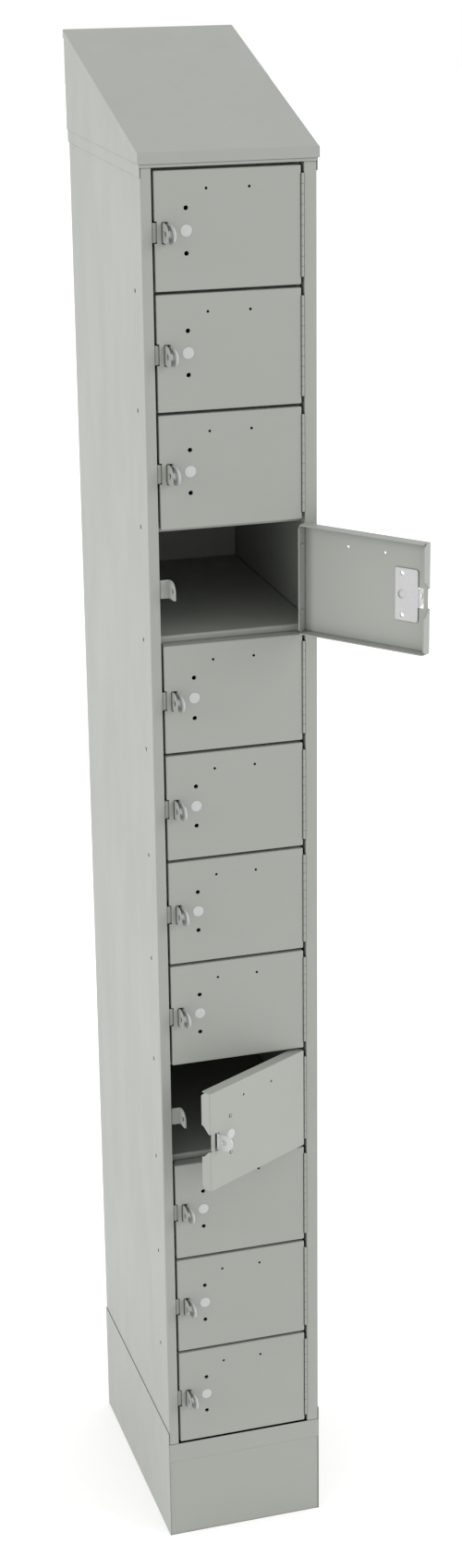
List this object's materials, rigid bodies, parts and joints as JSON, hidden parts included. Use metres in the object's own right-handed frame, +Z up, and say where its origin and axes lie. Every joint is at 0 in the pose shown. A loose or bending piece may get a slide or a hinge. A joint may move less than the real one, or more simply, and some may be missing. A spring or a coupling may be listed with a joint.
{
  "type": "box locker cabinet",
  "caption": "Tall narrow steel locker with a single stack of small hinged doors, padlock hasps, a sloping top and a closed base.",
  "frame": {"origin": "on the floor, at the middle of the base's footprint", "axes": "+X to the hinge side of the doors, seen from the front the right; +Y from the front to the back; +Z up"},
  "size_m": [0.3401, 0.542, 2.1217],
  "materials": {
    "cabinet_paint": "satin powder coat, light grey-green",
    "door_paint": "satin powder coat, light grey-green",
    "hinge_paint": "satin powder coat, light grey-green",
    "zinc": "bright zinc plate",
    "pin_steel": "plain drawn steel"
  },
  "bodies": {
    "cabinet": {"back_panel": "cabinet_paint", "base_back": "cabinet_paint", "base_floor": "cabinet_paint", "base_front": "cabinet_paint", "base_left": "cabinet_paint", "base_right": "cabinet_paint", "bottom_panel": "cabinet_paint", "frame_header": "cabinet_paint", "frame_hinge_leaves": "hinge_paint", "frame_stile_left": "cabinet_paint", "frame_stile_right": "cabinet_paint", "hasps": "cabinet_paint", "hinge_pins": "pin_steel", "left_side_panel": "cabinet_paint", "right_side_panel": "cabinet_paint", "shelves": "cabinet_paint", "slope_back": "cabinet_paint", "slope_cover": "cabinet_paint", "slope_end_left": "cabinet_paint", "slope_end_right": "cabinet_paint", "top_panel": "cabinet_paint"},
    "door_01": {"door_01_hinge": "hinge_paint", "door_01_latch_plate": "zinc", "door_01_pan": "door_paint"},
    "door_02": {"door_02_hinge": "hinge_paint", "door_02_latch_plate": "zinc", "door_02_pan": "door_paint"},
    "door_03": {"door_03_hinge": "hinge_paint", "door_03_latch_plate": "zinc", "door_03_pan": "door_paint"},
    "door_04": {"door_04_hinge": "hinge_paint", "door_04_latch_plate": "zinc", "door_04_pan": "door_paint"},
    "door_05": {"door_05_hinge": "hinge_paint", "door_05_latch_plate": "zinc", "door_05_pan": "door_paint"},
    "door_06": {"door_06_hinge": "hinge_paint", "door_06_latch_plate": "zinc", "door_06_pan": "door_paint"},
    "door_07": {"door_07_hinge": "hinge_paint", "door_07_latch_plate": "zinc", "door_07_pan": "door_paint"},
    "door_08": {"door_08_hinge": "hinge_paint", "door_08_latch_plate": "zinc", "door_08_pan": "door_paint"},
    "door_09": {"door_09_hinge": "hinge_paint", "door_09_latch_plate": "zinc", "door_09_pan": "door_paint"},
    "door_10": {"door_10_hinge": "hinge_paint", "door_10_latch_plate": "zinc", "door_10_pan": "door_paint"},
    "door_11": {"door_11_hinge": "hinge_paint", "door_11_latch_plate": "zinc", "door_11_pan": "door_paint"},
    "door_12": {"door_12_hinge": "hinge_paint", "door_12_latch_plate": "zinc", "door_12_pan": "door_paint"}
  },
  "joints": [
    {"name": "door_01_swing", "type": "hinge", "parent": "cabinet", "child": "door_01", "pos_m": [0.0952, -0.1905, 1.9096], "axis": [0, 0, 1], "range_deg": [0, 150]},
    {"name": "door_02_swing", "type": "hinge", "parent": "cabinet", "child": "door_02", "pos_m": [0.0952, -0.1905, 1.7572], "axis": [0, 0, 1], "range_deg": [0, 150]},
    {"name": "door_03_swing", "type": "hinge", "parent": "cabinet", "child": "door_03", "pos_m": [0.0952, -0.1905, 1.6048], "axis": [0, 0, 1], "range_deg": [0, 150]},
    {"name": "door_04_swing", "type": "hinge", "parent": "cabinet", "child": "door_04", "pos_m": [0.0952, -0.1905, 1.4524], "axis": [0, 0, 1], "range_deg": [-130, 20]},
    {"name": "door_05_swing", "type": "hinge", "parent": "cabinet", "child": "door_05", "pos_m": [0.0952, -0.1905, 1.3], "axis": [0, 0, 1], "range_deg": [0, 150]},
    {"name": "door_06_swing", "type": "hinge", "parent": "cabinet", "child": "door_06", "pos_m": [0.0952, -0.1905, 1.1476], "axis": [0, 0, 1], "range_deg": [0, 150]},
    {"name": "door_07_swing", "type": "hinge", "parent": "cabinet", "child": "door_07", "pos_m": [0.0952, -0.1905, 0.9952], "axis": [0, 0, 1], "range_deg": [0, 150]},
    {"name": "door_08_swing", "type": "hinge", "parent": "cabinet", "child": "door_08", "pos_m": [0.0952, -0.1905, 0.8428], "axis": [0, 0, 1], "range_deg": [0, 150]},
    {"name": "door_09_swing", "type": "hinge", "parent": "cabinet", "child": "door_09", "pos_m": [0.0952, -0.1905, 0.6904], "axis": [0, 0, 1], "range_deg": [-30, 120]},
    {"name": "door_10_swing", "type": "hinge", "parent": "cabinet", "child": "door_10", "pos_m": [0.0952, -0.1905, 0.538], "axis": [0, 0, 1], "range_deg": [0, 150]},
    {"name": "door_11_swing", "type": "hinge", "parent": "cabinet", "child": "door_11", "pos_m": [0.0952, -0.1905, 0.3856], "axis": [0, 0, 1], "range_deg": [0, 150]},
    {"name": "door_12_swing", "type": "hinge", "parent": "cabinet", "child": "door_12", "pos_m": [0.0952, -0.1905, 0.2332], "axis": [0, 0, 1], "range_deg": [0, 150]}
  ]
}
